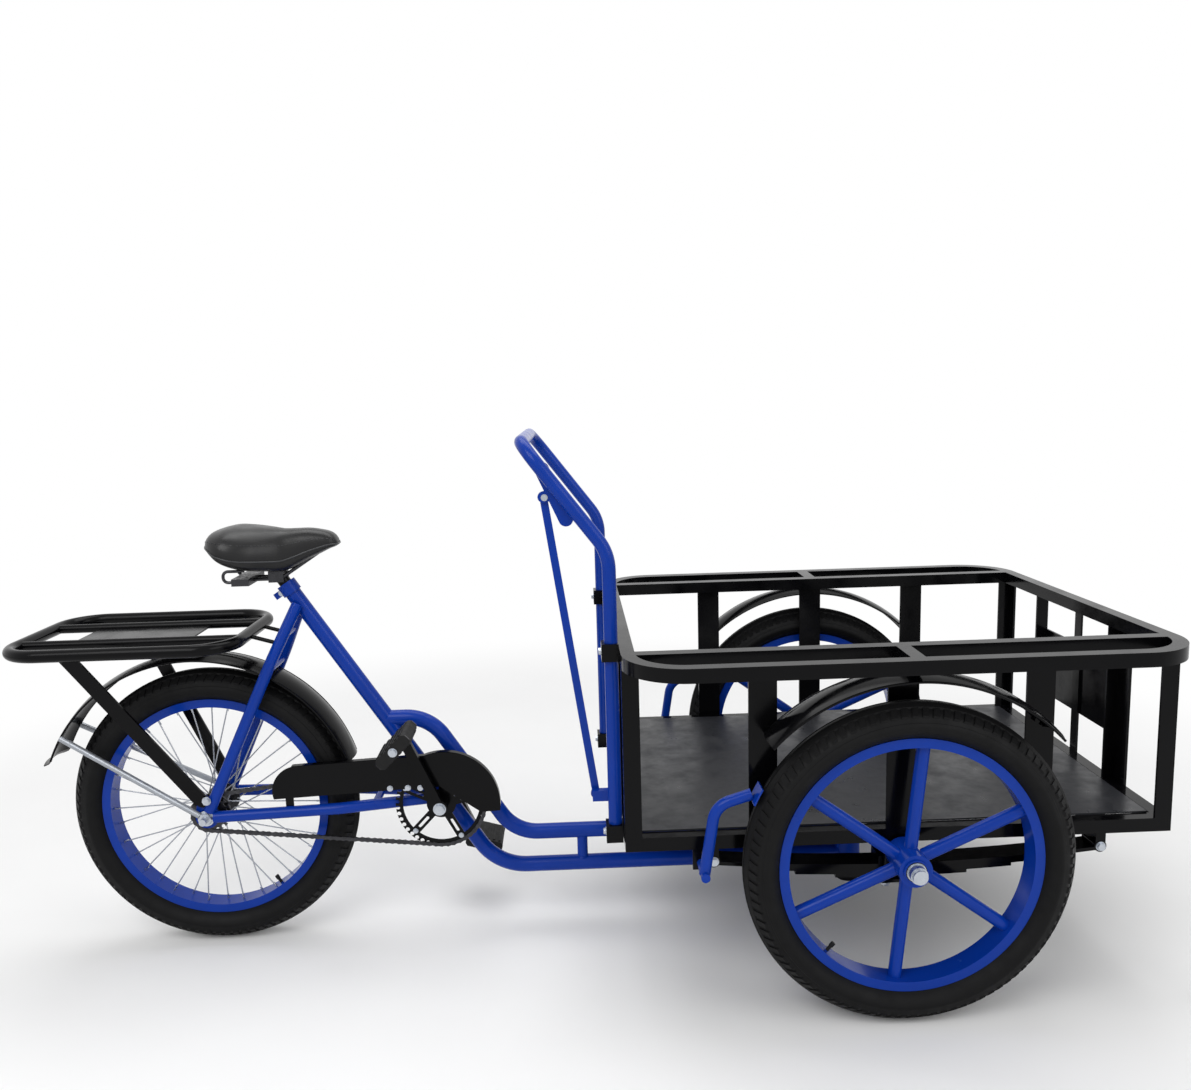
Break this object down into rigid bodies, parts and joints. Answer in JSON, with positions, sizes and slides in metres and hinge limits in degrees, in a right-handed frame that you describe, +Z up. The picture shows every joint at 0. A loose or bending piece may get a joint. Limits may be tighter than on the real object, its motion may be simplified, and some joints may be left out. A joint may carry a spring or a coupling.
{
  "type": "cargo tricycle",
  "caption": "Pedal cargo tricycle whose open steel box rides on two front wheels and swings to steer, with a saddle and rack behind.",
  "frame": {"origin": "on the ground, midway between the foremost and rearmost points and on the centre plane", "axes": "+X forward, +Y to the rider's left, +Z up"},
  "size_m": [2.147, 0.879, 1.04],
  "materials": {
    "blue_enamel": "glossy blue stove enamel",
    "black_enamel": "glossy black stove enamel",
    "tyre_rubber": "black road tyre rubber",
    "zinc_steel": "bright zinc-plated steel",
    "oiled_steel": "dark oiled steel",
    "saddle_vinyl": "black padded vinyl",
    "pedal_rubber": "moulded black rubber"
  },
  "bodies": {
    "frame": {"seat_tube": "blue_enamel", "lower_tube": "blue_enamel", "upper_tube": "blue_enamel", "pivot_sleeve": "blue_enamel", "bottom_bracket": "blue_enamel", "seat_stays": "blue_enamel", "chain_stays": "blue_enamel", "rear_axle": "zinc_steel", "seat_post": "black_enamel", "saddle": "saddle_vinyl", "saddle_frame": "oiled_steel", "saddle_springs": "oiled_steel", "rear_rack": "black_enamel", "rack_stays": "black_enamel", "rear_fender": "black_enamel", "fender_stays": "zinc_steel", "chain_guard": "black_enamel", "chain": "oiled_steel"},
    "carriage": {"axle_beam": "oiled_steel", "kingpin": "oiled_steel", "leaf_springs": "black_enamel", "box_base": "black_enamel", "box_floor": "black_enamel", "corner_posts": "black_enamel", "side_posts": "black_enamel", "top_ring": "black_enamel", "inner_rails": "black_enamel", "front_wall": "black_enamel", "rear_wall": "black_enamel", "handlebar": "blue_enamel", "brake_shaft": "blue_enamel", "brake_rod": "blue_enamel", "brake_lever": "blue_enamel", "front_fenders": "black_enamel"},
    "rear_wheel": {"rear_tyre": "tyre_rubber", "rear_rim": "blue_enamel", "rear_hub": "oiled_steel", "rear_spokes": "zinc_steel"},
    "rear_sprocket": {"rear_sprocket": "oiled_steel"},
    "crank": {"crank_right": "black_enamel", "crank_left": "black_enamel"},
    "pedal_left": {"pedal_left": "pedal_rubber"},
    "pedal_right": {"pedal_right": "pedal_rubber"},
    "front_wheel_left": {"front_wheel_left": "blue_enamel", "front_tyre_left": "tyre_rubber"},
    "front_wheel_right": {"front_wheel_right": "blue_enamel", "front_tyre_right": "tyre_rubber"}
  },
  "joints": [
    {"name": "steer", "type": "hinge", "parent": "frame", "child": "carriage", "pos_m": [0.5865, 0, 0.165], "axis": [0, 0, 1], "range_deg": [-35, 35]},
    {"name": "rear_wheel_spin", "type": "hinge", "parent": "frame", "child": "rear_wheel", "pos_m": [-0.7295, 0, 0.29], "axis": [0, 1, 0], "continuous": true},
    {"name": "crank_spin", "type": "hinge", "parent": "frame", "child": "crank", "pos_m": [-0.2625, 0, 0.293], "axis": [0, 1, 0], "continuous": true},
    {"name": "sprocket_spin", "type": "hinge", "parent": "frame", "child": "rear_sprocket", "pos_m": [-0.7295, -0.05, 0.29], "axis": [0, 1, 0], "continuous": true},
    {"name": "pedal_left_spin", "type": "hinge", "parent": "crank", "child": "pedal_left", "pos_m": [-0.19335, 0.1325, 0.1377], "axis": [0, 1, 0], "continuous": true},
    {"name": "pedal_right_spin", "type": "hinge", "parent": "crank", "child": "pedal_right", "pos_m": [-0.33165, -0.1325, 0.4483], "axis": [0, 1, 0], "continuous": true},
    {"name": "front_wheel_left_spin", "type": "hinge", "parent": "carriage", "child": "front_wheel_left", "pos_m": [0.5865, 0.3785, 0.29], "axis": [0, 1, 0], "continuous": true},
    {"name": "front_wheel_right_spin", "type": "hinge", "parent": "carriage", "child": "front_wheel_right", "pos_m": [0.5865, -0.3785, 0.29], "axis": [0, 1, 0], "continuous": true}
  ],
  "couplings": [
    {"joint": "sprocket_spin", "follows": "crank_spin", "ratio": 2.4444}
  ]
}
